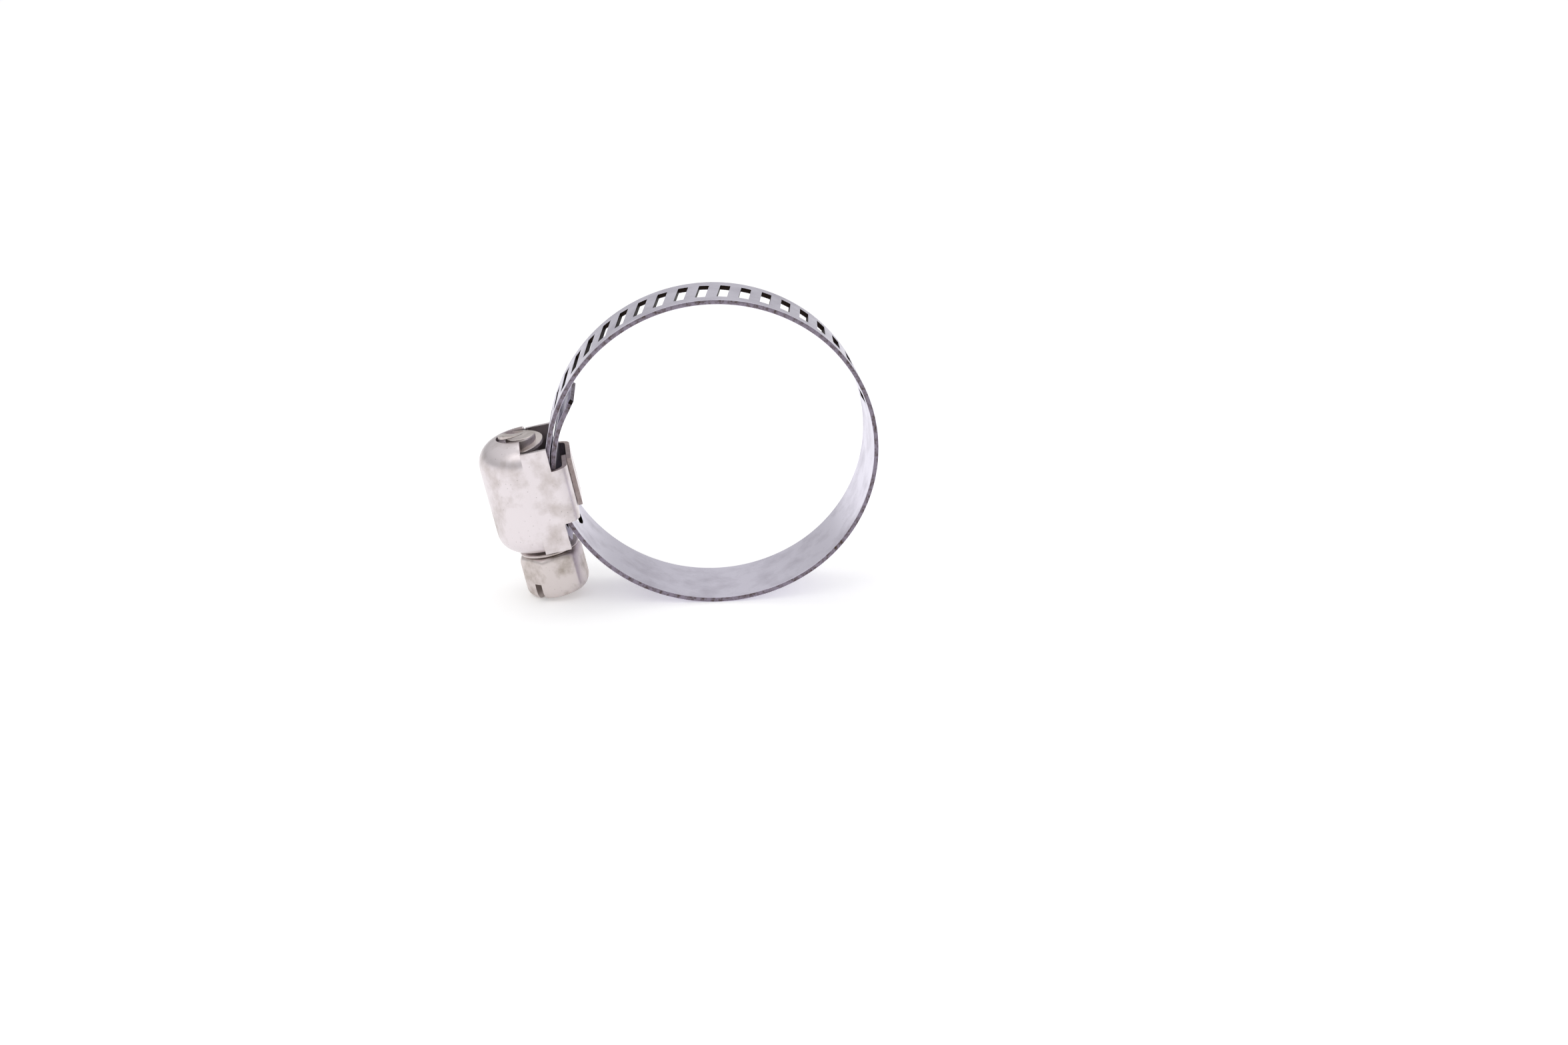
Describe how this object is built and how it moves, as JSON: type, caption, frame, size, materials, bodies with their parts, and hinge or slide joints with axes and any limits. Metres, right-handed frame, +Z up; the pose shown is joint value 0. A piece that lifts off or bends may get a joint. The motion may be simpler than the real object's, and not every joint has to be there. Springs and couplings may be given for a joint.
{
  "type": "worm-drive hose clamp",
  "caption": "Slotted steel band closed into a ring by a worm screw with a hexagon head, held in a folded housing.",
  "frame": {"origin": "centre of the circle that the hose fills, midway across the band's width", "axes": "+Y along the hose, away from the side where the near tab lies under the far tab's edge; +Z up as the clamp stands on its ring with the screw's head down; the housing is on the -X side"},
  "size_m": [0.0607, 0.0146, 0.0476],
  "materials": {
    "housing_steel": "stamped stainless sheet, warm grey, softly shiny",
    "screw_steel": "cold-formed and zinc plated, warm grey, softly shiny",
    "band_steel": "rolled stainless strip, bright, cool grey"
  },
  "bodies": {
    "clamp_body": {"housing": "housing_steel", "band_fixed_end": "band_steel"},
    "screw": {"worm_screw": "screw_steel"},
    "lower_link": {"band_lower_link": "band_steel"},
    "seat_link": {"band_seat_link": "band_steel"},
    "upper_link": {"band_upper_link": "band_steel"},
    "free_end": {"band_free_end": "band_steel"}
  },
  "joints": [
    {"name": "screw_turn", "type": "hinge", "parent": "clamp_body", "child": "screw", "pos_m": [-0.02925, 0, -0.00558], "axis": [-0.1949, 0, 0.9808], "range_deg": [-360, 180]},
    {"name": "bend_1", "type": "hinge", "parent": "clamp_body", "child": "lower_link", "pos_m": [0.00145, 0, -0.02333], "axis": [0, -1, 0], "range_deg": [-2.5, 1.25]},
    {"name": "bend_2", "type": "hinge", "parent": "lower_link", "child": "seat_link", "pos_m": [0.01146, 0, -0.02008], "axis": [0, -1, 0], "range_deg": [-1.2, 0.6]},
    {"name": "bend_3", "type": "hinge", "parent": "seat_link", "child": "upper_link", "pos_m": [0.01111, 0, 0.02028], "axis": [0, -1, 0], "range_deg": [-1.12, 0.56]},
    {"name": "bend_4", "type": "hinge", "parent": "upper_link", "child": "free_end", "pos_m": [-0.01325, 0, 0.02042], "axis": [0, -1, 0], "range_deg": [-2.36, 1.18]}
  ],
  "couplings": [
    {"joint": "bend_1", "follows": "screw_turn", "ratio": 0.0069111},
    {"joint": "bend_2", "follows": "screw_turn", "ratio": 0.0033056},
    {"joint": "bend_3", "follows": "screw_turn", "ratio": 0.0030861},
    {"joint": "bend_4", "follows": "screw_turn", "ratio": 0.0065278}
  ]
}
